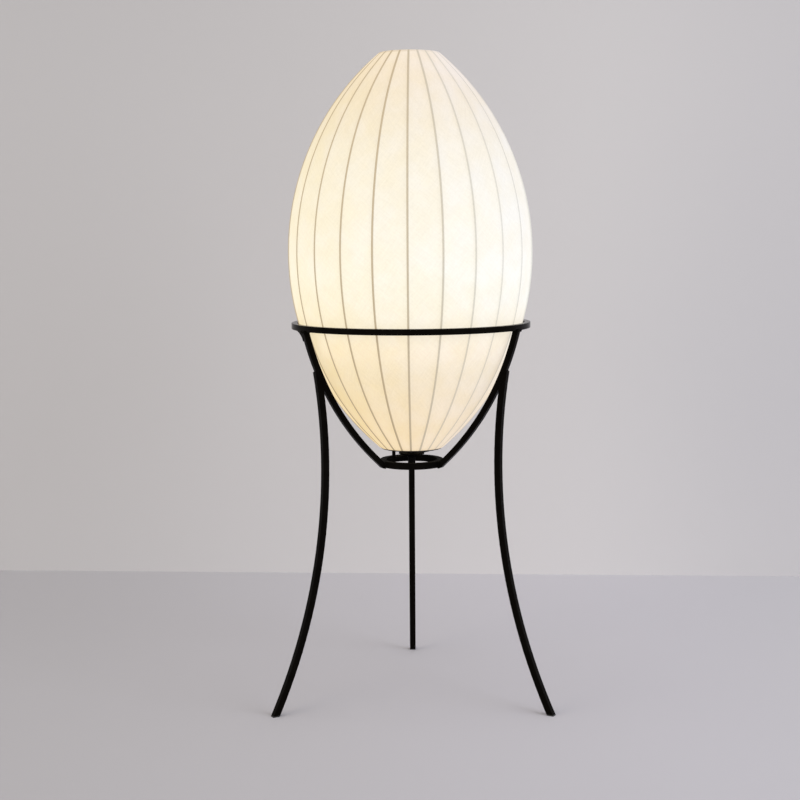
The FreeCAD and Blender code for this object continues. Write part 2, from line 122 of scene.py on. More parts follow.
class Graph:
    """Adds and links the nodes of one shader or geometry tree."""

    def __init__(self, tree: bpy.types.NodeTree) -> None:
        """Works on the tree given."""
        self.tree = tree

    def feed(self, socket: Socket, value: Value) -> None:
        """Links a socket to another one, or sets its own value.

        Args:
            socket: the socket that takes the value.
            value: another socket, or a number, colour or material.
        """
        source = value.socket if isinstance(value, Term) else value
        if isinstance(source, Socket):
            self.tree.links.new(source, socket)
        else:
            socket.default_value = source

    def fill(self, node: Node, inputs: Inputs) -> None:
        """Feeds the sockets of a node, by name or place."""
        for key, value in inputs.items():
            self.feed(node.inputs[key], value)

    def add(self, kind: str, inputs: Inputs, **settings: object) -> Node:
        """Adds a node.

        Args:
            kind: Blender's name for the type of node.
            inputs: what goes into its sockets, by name or place.
            **settings: its other settings.

        Returns:
            The node.
        """
        node = self.tree.nodes.new(kind)
        for name, setting in settings.items():
            setattr(node, name, setting)
        self.fill(node, inputs)
        return node

    def math(self, operation: str, *values: Value) -> Term:
        """One step of arithmetic."""
        return Term(self, self.add("ShaderNodeMath", dict(enumerate(values)), operation=operation).outputs[0])

    def limited(self, value: Value, low: float, high: float) -> Term:
        """A number kept between two limits."""
        return self.math("MINIMUM", self.math("MAXIMUM", value, low), high)

    def ease(self, value: Value, low: Value, high: Value) -> Term:
        """A smooth step from 0 at low to 1 at high."""
        inputs = {"Value": value, "From Min": low, "From Max": high}
        return Term(self, self.add("ShaderNodeMapRange", inputs, interpolation_type="SMOOTHSTEP").outputs[0])

    def where(self) -> Socket:
        """Place of a point in the frame of the model."""
        return self.add("ShaderNodeTexCoord", {}).outputs["Object"]

    def axes(self, vector: Socket) -> Tuple[Term, Term, Term]:
        """The three parts of a vector."""
        outputs = self.add("ShaderNodeSeparateXYZ", {0: vector}).outputs
        return Term(self, outputs[0]), Term(self, outputs[1]), Term(self, outputs[2])

    def scaled(self, colour: Value, share: Value) -> Socket:
        """A colour times a number."""
        return self.add("ShaderNodeVectorMath", {0: colour, "Scale": share}, operation="SCALE").outputs[0]

    def mix(self, share: Value, first: Value, second: Value) -> Socket:
        """A colour between two others, from the first at 0 to the second at 1."""
        inputs = {"Factor": share, 6: first, 7: second}
        return self.add("ShaderNodeMix", inputs, data_type="RGBA").outputs[2]

    def noise(self, place: Value, size: Value, detail: float) -> Term:
        """Soft random cells of about the size given, from 0 to 1."""
        inputs = {"Vector": place, "Scale": self.math("DIVIDE", 1.0, size), "Detail": detail}
        return Term(self, self.add("ShaderNodeTexNoise", inputs).outputs[0])


class ShapeTree(Graph):
    """A Geometry Nodes tree with named sizes, which ends in Realize Instances and Set Material."""

    def __init__(self, name: str) -> None:
        """Starts an empty tree.

        Args:
            name: name of the tree and of the piece that it makes.
        """
        super().__init__(bpy.data.node_groups.new(name, "GeometryNodeTree"))
        self.name = name
        self.values: Dict[str, Union[int, float]] = {}
        for way in ("INPUT", "OUTPUT"):
            self.tree.interface.new_socket("Geometry", in_out=way, socket_type="NodeSocketGeometry")
        self.entry = self.add("NodeGroupInput", {})

    @property
    def start(self) -> Socket:
        """The geometry that the tree works on."""
        return self.entry.outputs["Geometry"]

    def size(self, name: str, value: Union[int, float]) -> Term:
        """Adds a named input.

        Args:
            name: what the input sets.
            value: a length, an angle or a count.

        Returns:
            The input.
        """
        kind = "NodeSocketInt" if isinstance(value, int) else "NodeSocketFloat"
        item = self.tree.interface.new_socket(name, in_out="INPUT", socket_type=kind)
        self.values[item.identifier] = value
        return Term(self, self.entry.outputs[name])

    def position(self) -> Tuple[Term, Term, Term]:
        """Place of each point of the shape."""
        return self.axes(self.add("GeometryNodeInputPosition", {}).outputs[0])

    def grid(self, around: Value, along: Value) -> Tuple[Socket, Term, Term]:
        """A grid to be bent into a shape.

        Args:
            around: number of points one way.
            along: number of points the other way.

        Returns:
            The grid, and the place of each point on it from 0 to 1 both ways.
        """
        inputs = {"Size X": 1.0, "Size Y": 1.0, "Vertices X": around, "Vertices Y": along}
        mesh = self.add("GeometryNodeMeshGrid", inputs).outputs["Mesh"]
        x, y, _ = self.position()
        return mesh, x + 0.5, y + 0.5

    def wrap(self, mesh: Value, angle: Term, radius: Term, height: Term) -> Socket:
        """Bends a grid round the lamp's axis, and closes its seams."""
        x, y = (radius * self.math(way, angle) for way in ("COSINE", "SINE"))
        return self.merge(self.move(mesh, x, y, height))

    def move(self, mesh: Value, x: Value, y: Value, z: Value) -> Socket:
        """Gives each point of a mesh its place."""
        spot = self.add("ShaderNodeCombineXYZ", {0: x, 1: y, 2: z}).outputs[0]
        return self.add("GeometryNodeSetPosition", {"Geometry": mesh, "Position": spot}).outputs[0]

    def merge(self, mesh: Value) -> Socket:
        """Joins points that meet."""
        return self.add("GeometryNodeMergeByDistance", {"Geometry": mesh, "Distance": SAME_POINT}).outputs[0]

    def lift(self, shape: Value, height: float) -> Socket:
        """Raises a shape along the lamp's axis."""
        inputs = {"Geometry": shape, "Translation": (0.0, 0.0, height)}
        return self.add("GeometryNodeTransform", inputs).outputs[0]

    def copies(self, points: Value, shape: Value) -> Socket:
        """One copy of a shape at each point."""
        return self.add("GeometryNodeInstanceOnPoints", {"Points": points, "Instance": shape}).outputs[0]

    def join(self, *shapes: Socket) -> Socket:
        """Several shapes as one.

        Args:
            *shapes: the shapes.

        Returns:
            All of them together.
        """
        whole = self.add("GeometryNodeJoinGeometry", {})
        for shape in shapes:
            self.feed(whole.inputs[0], shape)
        return whole.outputs[0]

    def profile(self, row: Term, values: Sequence[Value]) -> Term:
        """A number that changes from row to row of a grid.

        Args:
            row: number of the row.
            values: what the number is at each row.

        Returns:
            The number.
        """
        total: Union[float, Term] = 0.0
        for index, value in enumerate(values):
            nearness = self.limited(1.0 - self.math("ABSOLUTE", row - float(index)), 0.0, 1.0)
            total = nearness * value + total
        return total

    def run(
        self,
        shape: Socket,
        material: Material,
        start: Optional[bpy.types.Mesh] = None,
        smooth: bool = True,
    ) -> Piece:
        """Ends the tree and runs it once.

        Args:
            shape: the geometry to keep.
            material: its finish.
            start: mesh that the tree works on, if any.
            smooth: whether its faces are shaded as one round surface.

        Returns:
            The piece, as a plain mesh.
        """
        shading = {"Geometry": shape, "Shade Smooth": smooth}
        shaded = self.add("GeometryNodeSetShadeSmooth", shading).outputs[0]
        whole = self.add("GeometryNodeRealizeInstances", {"Geometry": shaded}).outputs[0]
        dressed = self.add("GeometryNodeSetMaterial", {"Geometry": whole, "Material": material}).outputs[0]
        self.add("NodeGroupOutput", {0: dressed})
        piece = add_object(self.name, start or bpy.data.meshes.new(self.name))
        modifier = piece.modifiers.new("Shape", "NODES")
        modifier.node_group = self.tree
        for identifier, value in self.values.items():
            modifier[identifier] = value
        return freeze(piece)


# Objects and the frame
def add_object(name: str, data: bpy.types.ID) -> bpy.types.Object:
    """Puts a new object into the scene.

    Args:
        name: its name.
        data: its mesh, light or camera.

    Returns:
        The object.
    """
    thing = bpy.data.objects.new(name, data)
    bpy.context.scene.collection.objects.link(thing)
    return thing


def freeze(piece: Piece) -> Piece:
    """Turns a piece and its modifiers into a plain mesh.

    Args:
        piece: the piece.

    Returns:
        The piece.
    """
    shown = piece.evaluated_get(bpy.context.evaluated_depsgraph_get())
    mesh = bpy.data.meshes.new_from_object(shown)
    piece.modifiers.clear()
    piece.data = mesh
    mesh.name = piece.name
    return piece


def face_outwards(piece: Piece) -> None:
    """Turns the faces of a closed piece outwards.

    Args:
        piece: the piece.
    """
    work = bmesh.new()
    work.from_mesh(piece.data)
    bmesh.ops.dissolve_degenerate(work, dist=NO_LENGTH, edges=work.edges)
    bmesh.ops.recalc_face_normals(work, faces=work.faces)
    work.to_mesh(piece.data)
    work.free()


def place(piece: Piece, body: Body, slot: str, *nodes: str) -> None:
    """Gives a finished piece to the frame.

    Args:
        piece: the piece.
        body: the body that it rides on.
        slot: name of the finish slot that the piece stands in; not used.
        *nodes: CAD nodes that it stands for.
    """
    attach(piece, body.value)
    if nodes:
        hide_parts(*nodes)
    log.info("%s: %d faces on %s", piece.name, len(piece.data.polygons), body.value)


# Shared effects
class Effects:
    """Shader node groups that several finishes use, each built once.

    Attributes:
        PATCH_LIMITS: noise levels where a patch begins and is full.
        PATCH_SHARE: share of the second tone in a patch.
        GRAIN_SHARE: share of the second tone in the grain.
        BARE_SHARE: share taken off both, so that some of the surface keeps its first tone.
        LEAST_ROUGHNESS: least roughness of the uneven gloss.
        DUST_COLOUR: colour of dust, linear.
        DUST_ROUGHNESS: its roughness.
        DUST_SLOPE: upward parts of the normal where dust begins to lie and lies fully.
        DUST_FILM: dust between the specks, as a share of a speck's.
        SPECK_SIZE: size of the specks.
        SPECK_LIMITS: noise levels where a speck begins and is full.
    """

    PATCH_LIMITS: Limits = (0.35, 0.65)
    PATCH_SHARE = 0.75
    GRAIN_SHARE = 0.4
    BARE_SHARE = 0.1
    LEAST_ROUGHNESS = 0.03
    DUST_COLOUR: Colour = (0.45, 0.43, 0.40)
    DUST_ROUGHNESS = 0.9
    DUST_SLOPE: Limits = (0.55, 0.98)
    DUST_FILM = 0.3
    SPECK_SIZE = 6 * MM
    SPECK_LIMITS: Limits = (0.4, 0.75)

    def __init__(self) -> None:
        """Builds the groups."""
        self.grain = self._grain()
        self.dust = self._dust()

    @staticmethod
    def _group(name: str, inputs: Mapping[str, str], outputs: Mapping[str, str]) -> Tuple[Graph, Node]:
        """An empty group with its sockets.

        Args:
            name: name of the group.
            inputs: names and kinds of what goes in.
            outputs: names and kinds of what comes out.

        Returns:
            The group's graph and its entry node.
        """
        tree = bpy.data.node_groups.new(name, "ShaderNodeTree")
        for way, sockets in (("INPUT", inputs), ("OUTPUT", outputs)):
            for label, kind in sockets.items():
                tree.interface.new_socket(label, in_out=way, socket_type="NodeSocket" + kind)
        graph = Graph(tree)
        return graph, graph.add("NodeGroupInput", {})

    def _grain(self) -> bpy.types.NodeTree:
        """Patches of a second tone, a fine grain and uneven gloss.

        Returns:
            The group.
        """
        numbers = dict.fromkeys(("Patch Size", "Grain Size", "Roughness", "Spread"), "Float")
        graph, entry = self._group(
            "surface_grain",
            {"Colour": "Color", "Patch Colour": "Color", **numbers},
            {"Colour": "Color", "Roughness": "Float", "Height": "Float"},
        )
        given = entry.outputs
        where = graph.where()
        patches = graph.noise(where, given["Patch Size"], detail=3.0)
        grain = graph.noise(where, given["Grain Size"], detail=2.0)
        patched = graph.ease(patches, *self.PATCH_LIMITS) * self.PATCH_SHARE
        share = graph.limited(patched + grain * self.GRAIN_SHARE - self.BARE_SHARE, 0.0, 1.0)
        colour = graph.mix(share, given["Colour"], given["Patch Colour"])
        swing = (patches + grain - 1.0) * given["Spread"]
        roughness = graph.limited(swing + given["Roughness"], self.LEAST_ROUGHNESS, 1.0)
        graph.add("NodeGroupOutput", {"Colour": colour, "Roughness": roughness, "Height": grain})
        return graph.tree

    def _dust(self) -> bpy.types.NodeTree:
        """A thin uneven film of dust on what faces up.

        Returns:
            The group.
        """
        graph, entry = self._group(
            "settled_dust",
            {"Colour": "Color", "Roughness": "Float", "Amount": "Float"},
            {"Colour": "Color", "Roughness": "Float"},
        )
        given = entry.outputs
        _, _, up = graph.axes(graph.add("ShaderNodeNewGeometry", {}).outputs["Normal"])
        speckle = graph.ease(graph.noise(graph.where(), self.SPECK_SIZE, detail=4.0), *self.SPECK_LIMITS)
        cover = speckle * (1.0 - self.DUST_FILM) + self.DUST_FILM
        film = graph.ease(up, *self.DUST_SLOPE) * cover * given["Amount"]
        colour = graph.mix(film, given["Colour"], opaque(self.DUST_COLOUR))
        dull = film * (self.DUST_ROUGHNESS - Term(graph, given["Roughness"])) + given["Roughness"]
        graph.add("NodeGroupOutput", {"Colour": colour, "Roughness": dull})
        return graph.tree


def opaque(colour: Colour) -> Tuple[float, float, float, float]:
    """A colour with its alpha."""
    return (*colour, 1.0)


def new_material(name: str) -> Tuple[Material, Graph, Node]:
    """An empty material with its one shader.

    Args:
        name: name of the finish.

    Returns:
        The material, its graph and its shader.
    """
    material = bpy.data.materials.new(name)
    material.use_nodes = True
    material.node_tree.nodes.clear()
    graph = Graph(material.node_tree)
    shader = graph.add("ShaderNodeBsdfPrincipled", {})
    graph.add("ShaderNodeOutputMaterial", {"Surface": shader.outputs[0]})
    return material, graph, shader


EFFECTS = Effects()


# Finishes
@dataclass(frozen=True)
class Finish:
    """A painted, moulded or metal surface.

    Attributes:
        name: name of the material.
        colour: main colour, linear.
        patch_colour: colour of its uneven patches.
        roughness: middle roughness.
        spread: how far the roughness swings.
        metallic: 1 for bare metal.
        specular: reflection level of paint and plastic.
        patch_size: size of the patches.
        grain_size: size of the fine grain.
        grain_depth: height of the fine grain.
        dust: share of dust on what faces up.
        glow: light that it gives off, if any.
    """

    name: str
    colour: Colour
    patch_colour: Colour
    roughness: float
    spread: float = 0.12
    metallic: float = 0.0
    specular: float = 0.5
    patch_size: float = 30 * MM
    grain_size: float = 0.8 * MM
    grain_depth: float = 0.02 * MM
    dust: float = 0.0
    glow: float = 0.0

    def material(self) -> Material:
        """The material, which is built when it is first asked for."""
        return bpy.data.materials.get(self.name) or self._build()

    def dress(self, *names: str) -> None:
        """Gives CAD nodes this finish.

        Args:
            *names: the nodes.
        """
        for name in names:
            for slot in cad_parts[name].material_slots:
                slot.material = self.material()
            log.info("%s: %s", name, self.name)

    def _build(self) -> Material:
        """Builds the material.

        Returns:
            The material.
        """
        material, graph, shader = new_material(self.name)
        settings = {
            "Colour": opaque(self.colour),
            "Patch Colour": opaque(self.patch_colour),
            "Patch Size": self.patch_size,
            "Grain Size": self.grain_size,
            "Roughness": self.roughness,
            "Spread": self.spread,
        }
        grain = graph.add("ShaderNodeGroup", settings, node_tree=EFFECTS.grain).outputs
        surface = grain
        if self.dust:
            dusted = {"Colour": grain["Colour"], "Roughness": grain["Roughness"], "Amount": self.dust}
            surface = graph.add("ShaderNodeGroup", dusted, node_tree=EFFECTS.dust).outputs
        bump = graph.add("ShaderNodeBump", {"Height": grain["Height"], "Distance": self.grain_depth})
        looks = {
            "Base Color": surface["Colour"],
            "Roughness": surface["Roughness"],
            "Normal": bump.outputs[0],
            "Metallic": self.metallic,
            "Specular IOR Level": self.specular,
        }
        graph.fill(shader, looks)
        if self.glow:
            graph.fill(shader, {"Emission Color": surface["Colour"], "Emission Strength": self.glow})
        return material


BLACK = (0.0022, 0.0017, 0.0012)
WORN_BLACK = (0.0034, 0.0028, 0.0021)
POWDER_COAT = Finish(
    "satin_black_powder_coat", BLACK, WORN_BLACK, 0.13, spread=0.05, specular=0.02, dust=0.004
)
MATT_COAT = Finish("matt_black_powder_coat", BLACK, WORN_BLACK, 0.65, specular=0.02)
FOOT_RUBBER = Finish(
    "matt_foot_rubber", (0.012, 0.012, 0.012), (0.022, 0.022, 0.021), 0.8, grain_size=0.5 * MM,
    grain_depth=0.05 * MM
)
FRAME_WIRE = Finish(
    "lacquered_wire", (0.02, 0.016, 0.012), (0.035, 0.028, 0.021), 0.5, metallic=0.3, patch_size=14 * MM
)
BLACK_FITTING = Finish(
    "black_fitting_paint", (0.0025, 0.002, 0.0016), (0.0036, 0.003, 0.0025), 0.7, specular=0.01,
    patch_size=12 * MM
)
PLATED_STEEL = Finish(
    "zinc_plated_steel", (0.56, 0.56, 0.54), (0.43, 0.43, 0.42), 0.32, metallic=1.0, patch_size=9 * MM,
    grain_size=0.35 * MM, grain_depth=0.006 * MM
)
TERMINAL_BRASS = Finish(
    "plain_brass", (0.72, 0.50, 0.20), (0.55, 0.36, 0.14), 0.3, metallic=1.0, patch_size=4 * MM,
    grain_size=0.3 * MM, grain_depth=0.005 * MM
)
HOLDER_PLASTIC = Finish(
    "ivory_holder_plastic", (0.66, 0.63, 0.55), (0.60, 0.57, 0.49), 0.38, patch_size=16 * MM,
    grain_size=0.45 * MM, grain_depth=0.012 * MM, dust=0.08
)
HOLDER_CERAMIC = Finish(
    "glazed_ceramic", (0.70, 0.68, 0.63), (0.62, 0.59, 0.53), 0.22, patch_size=7 * MM, grain_size=1.2 * MM
)
THREAD_SHELL = Finish(
    "thread_shell_metal", (0.62, 0.60, 0.55), (0.48, 0.46, 0.42), 0.3, metallic=1.0, patch_size=6 * MM,
    grain_size=0.3 * MM, grain_depth=0.006 * MM
)
BUSH_PLASTIC = Finish(
    "black_bush_plastic", (0.003, 0.0025, 0.002), (0.005, 0.0045, 0.004), 0.6, specular=0.03,
    patch_size=5 * MM, grain_size=0.4 * MM
)
BULB_CAP = Finish(
    "bulb_cap_aluminium", (0.66, 0.66, 0.65), (0.53, 0.53, 0.52), 0.28, metallic=1.0, patch_size=6 * MM,
    grain_size=0.3 * MM, grain_depth=0.006 * MM
)
BULB_INSULATOR = Finish(
    "black_glass", (0.008, 0.008, 0.009), (0.016, 0.015, 0.016), 0.12, patch_size=5 * MM, grain_size=1.5 * MM
)
BULB_TIP = Finish(
    "tinned_tip", (0.60, 0.59, 0.56), (0.44, 0.43, 0.41), 0.4, metallic=1.0, patch_size=2 * MM,
    grain_size=0.5 * MM, grain_depth=0.03 * MM
)
BULB_HOUSING = Finish(
    "white_bulb_housing", (0.74, 0.73, 0.70), (0.69, 0.67, 0.63), 0.42, patch_size=14 * MM,
    grain_size=0.5 * MM, grain_depth=0.012 * MM
)
CIRCUIT_BOARD = Finish(
    "green_circuit_board", (0.03, 0.13, 0.06), (0.05, 0.20, 0.08), 0.35, patch_size=5 * MM,
    grain_size=0.7 * MM
)
LIGHT_BOARD = Finish(
    "white_light_board", (0.78, 0.77, 0.73), (0.74, 0.70, 0.50), 0.4, patch_size=5 * MM, grain_size=0.7 * MM
)
OPAL_GLOBE = Finish(
    "opal_globe", (0.86, 0.80, 0.68), (0.90, 0.85, 0.74), 0.25, spread=0.04, patch_size=22 * MM,
    grain_size=2 * MM, grain_depth=0.008 * MM, glow=1.1
)


@dataclass(frozen=True)
class SkinGrain:
    """Clouds and crossing strands of a sprayed resin skin.

    Attributes:
        cloud_size: size of its thicker and thinner patches.
        cloud_limits: noise levels of the thinnest and the thickest.
        speck_size: size of the specks.
        strand_width: width of a strand.
        slenderness: width of a strand over its length.
        slants: angles of the strands to the girth.
        girth_radius: radius at which the skin is unrolled.
        limits: levels of the least and the most skin.
    """

    cloud_size: float = 45 * MM
    cloud_limits: Limits = (0.3, 0.7)
    speck_size: float = 3.5 * MM
    strand_width: float = 2.4 * MM
    slenderness: float = 0.08
    slants: Tuple[float, ...] = (math.radians(52), math.radians(-38))
    girth_radius: float = 0.2
    limits: Limits = (0.36, 0.64)

    def cloud(self, graph: Graph, where: Socket) -> Term:
        """Thinner and thicker patches, from 0 to 1."""
        return graph.ease(graph.noise(where, self.cloud_size, detail=3.0), *self.cloud_limits)

    def fibre(self, graph: Graph, where: Socket, azimuth: Term, up: Term) -> Term:
        """Crossing slanted strands, and specks.

        Args:
            graph: the material's graph.
            where: place in space.
            azimuth: angle round the axis.
            up: height.

        Returns:
            How much skin there is, from 0 to 1.
        """
        around = azimuth * self.girth_radius
        total = graph.noise(where, self.speck_size, detail=4.0)
        for slant in self.slants:
            along = (around * math.cos(slant) + up * math.sin(slant)) * self.slenderness
            across = up * math.cos(slant) - around * math.sin(slant)
            spot = graph.add("ShaderNodeCombineXYZ", {0: along, 1: across, 2: slant}).outputs[0]
            total = graph.noise(spot, self.strand_width, detail=2.0) + total
        return graph.ease(total / float(1 + len(self.slants)), *self.limits)


@dataclass(frozen=True)
class LitSkin:
    """Thin resin skin over wires, lit from inside, with cooler, brighter light from one side painted into its
    glow.

    Attributes:
        colour: the skin's own colour, linear.
        glow: light through it, as shares of its height and colours.
        wire_count: wires under it.
        first_wire: azimuth of one wire.
        line_glow: light through the skin over a wire.
        daylit_line_glow: the same on the side where cooler, brighter light is painted in.
        line_colour: the skin's own colour over a wire.
        painted_daylight: painted light, a cooler and brighter glow added panel by panel towards the side at
            daylit_side.
        low: height of the lower rim.
        high: height of the upper rim.
        daylit_side: azimuth of the side where cooler, brighter light is painted into the glow.
        daylit_limits: cosines of the azimuth from there where that painted light begins and is full.
        line_width: width of the dark line over a wire.
        line_softness: half width of the line's edge, as a share of half the line.
        line_depth: how far the skin turns to the line's glow and colour.
        daylit_line_fade: share of that which is lost where the painted cooler light is full.
        rim_depth: the same over the upper hoop.
        halo_width: width of the dim band along a line, in widths of the line.
        halo_tone: share of the light that is lost there.
        cloud_tone: swing of the light from cloud to cloud.
        cloud_daylight_shift: how far a cloud shifts that painted light.
        fibre_tone: swing of light and colour from strand to strand.
        relief: height of the strands.
        roughness: least roughness.
        roughness_swing: what a cloud adds to it.
        specular: reflection level.
        glow_strength: brightness of the glow.
        grain: clouds and strands.
    """

    colour: Colour
    glow: Tuple[Tuple[float, Colour], ...]
    wire_count: int
    first_wire: float
    line_glow: Colour
    daylit_line_glow: Colour
    line_colour: Colour
    painted_daylight: Colour
    low: float
    high: float
    daylit_side: float = 0.0
    daylit_limits: Limits = (-0.3, 0.8)
    line_width: float = 3.4 * MM
    line_softness: float = 0.4
    line_depth: float = 0.88
    daylit_line_fade: float = 0.6
    rim_depth: float = 0.35
    halo_width: float = 6.0
    halo_tone: float = 0.035
    cloud_tone: float = 0.03
    cloud_daylight_shift: float = 0.6
    fibre_tone: float = 0.06
    relief: float = 0.08 * MM
    roughness: float = 0.5
    roughness_swing: float = 0.16
    specular: float = 0.3
    glow_strength: float = 1.0
    grain: SkinGrain = SkinGrain()

    @property
    def pitch(self) -> float:
        """Angle from wire to wire."""
        return TURN / self.wire_count

    def material(self) -> Material:
        """Builds the material.

        Returns:
            The material.
        """
        material, graph, shader = new_material("lit_resin_skin")
        where = graph.where()
        x, y, z = graph.axes(where)
        azimuth = self._azimuth(graph, x, y)
        turns = (azimuth - self.first_wire) / self.pitch
        off_wire = graph.math("ABSOLUTE", graph.math("FRACT", turns + 0.5) - 0.5)
        gap = off_wire * graph.math("SQRT", x * x + y * y) * self.pitch
        cloud = self.grain.cloud(graph, where)
        fibre = self.grain.fibre(graph, where, azimuth, z)
        strands = (fibre - 0.5) * self.fibre_tone
        half = self.line_width / 2
        halo = 1.0 - graph.ease(gap, half, self.halo_width * half)
        tone = 1.0 - halo * self.halo_tone + (cloud - 0.5) * self.cloud_tone + strands
        # Painted light: on the side at daylit_side the lines fade and take a cooler glow.
        daylit = graph.ease(graph.math("COSINE", azimuth - self.daylit_side), *self.daylit_limits)
        over_wire = self._lines(graph, gap, z) * (1.0 - daylit * self.daylit_line_fade) * self.line_depth
        dimmed = graph.mix(daylit, opaque(self.line_glow), opaque(self.daylit_line_glow))
        lined = graph.mix(over_wire, self._glow(graph, turns, z, cloud), dimmed)
        stained = graph.mix(over_wire, opaque(self.colour), opaque(self.line_colour))
        bump = graph.add("ShaderNodeBump", {"Height": fibre, "Distance": self.relief})
        looks = {
            "Base Color": graph.scaled(stained, strands + 1.0),
            "Emission Color": graph.scaled(lined, tone),
            "Roughness": cloud * self.roughness_swing + self.roughness,
            "Normal": bump.outputs[0],
            "Emission Strength": self.glow_strength,
            "Specular IOR Level": self.specular,
        }
        graph.fill(shader, looks)
        return material

    def _azimuth(self, graph: Graph, x: Term, y: Term) -> Term:
        """Angle round the axis, cut at a wire whose line hides the cut.

        Args:
            graph: the material's graph.
            x: place along X.
            y: place along Y.

        Returns:
            The angle, from the cut round to the cut again.
        """
        cut = self.first_wire + self.wire_count // 2 * self.pitch
        across = y * -math.cos(cut) + x * math.sin(cut)
        along = x * -math.cos(cut) - y * math.sin(cut)
        return graph.math("ARCTAN2", across, along) + (cut + math.pi)

    def _lines(self, graph: Graph, gap: Term, up: Term) -> Term:
        """Soft lines over the wires and the upper hoop.

        Args:
            graph: the material's graph.
            gap: distance from the nearest wire, along the girth.
            up: height.

        Returns:
            1 on a line, 0 off it.
        """
        half = self.line_width / 2
        beside = graph.ease(gap, (1 - self.line_softness) * half, (1 + self.line_softness) * half)
        over_hoop = graph.ease(up, self.high - half, self.high) * self.rim_depth
        return graph.math("MAXIMUM", 1.0 - beside, over_hoop)

    def _glow(self, graph: Graph, turns: Term, up: Term, cloud: Term) -> Socket:
        """Light through the skin up its height, and cooler, brighter light from one side painted in from
        panel to panel.

        Args:
            graph: the material's graph.
            turns: place round the girth, in panels.
            up: height.
            cloud: thinner and thicker patches.

        Returns:
            The colour of the light.
        """
        ramp = graph.add("ShaderNodeValToRGB", {"Fac": (up - self.low) / (self.high - self.low)})
        stops = ramp.color_ramp
        stops.interpolation = "CARDINAL"
        while len(stops.elements) < len(self.glow):
            stops.elements.new(0.5)
        for element, (share, colour) in zip(stops.elements, self.glow):
            element.position = share
            element.color = opaque(colour)
        # Painted light: a cooler, brighter glow on the side at daylit_side, one step per panel.
        panel = (graph.math("FLOOR", turns) + 0.5) * self.pitch + (self.first_wire - self.daylit_side)
        daylit = graph.math("COSINE", panel) + (cloud - 0.5) * self.cloud_daylight_shift
        change = graph.scaled(self.painted_daylight, daylit)
        return graph.add("ShaderNodeVectorMath", {0: ramp.outputs[0], 1: change}, operation="ADD").outputs[0]


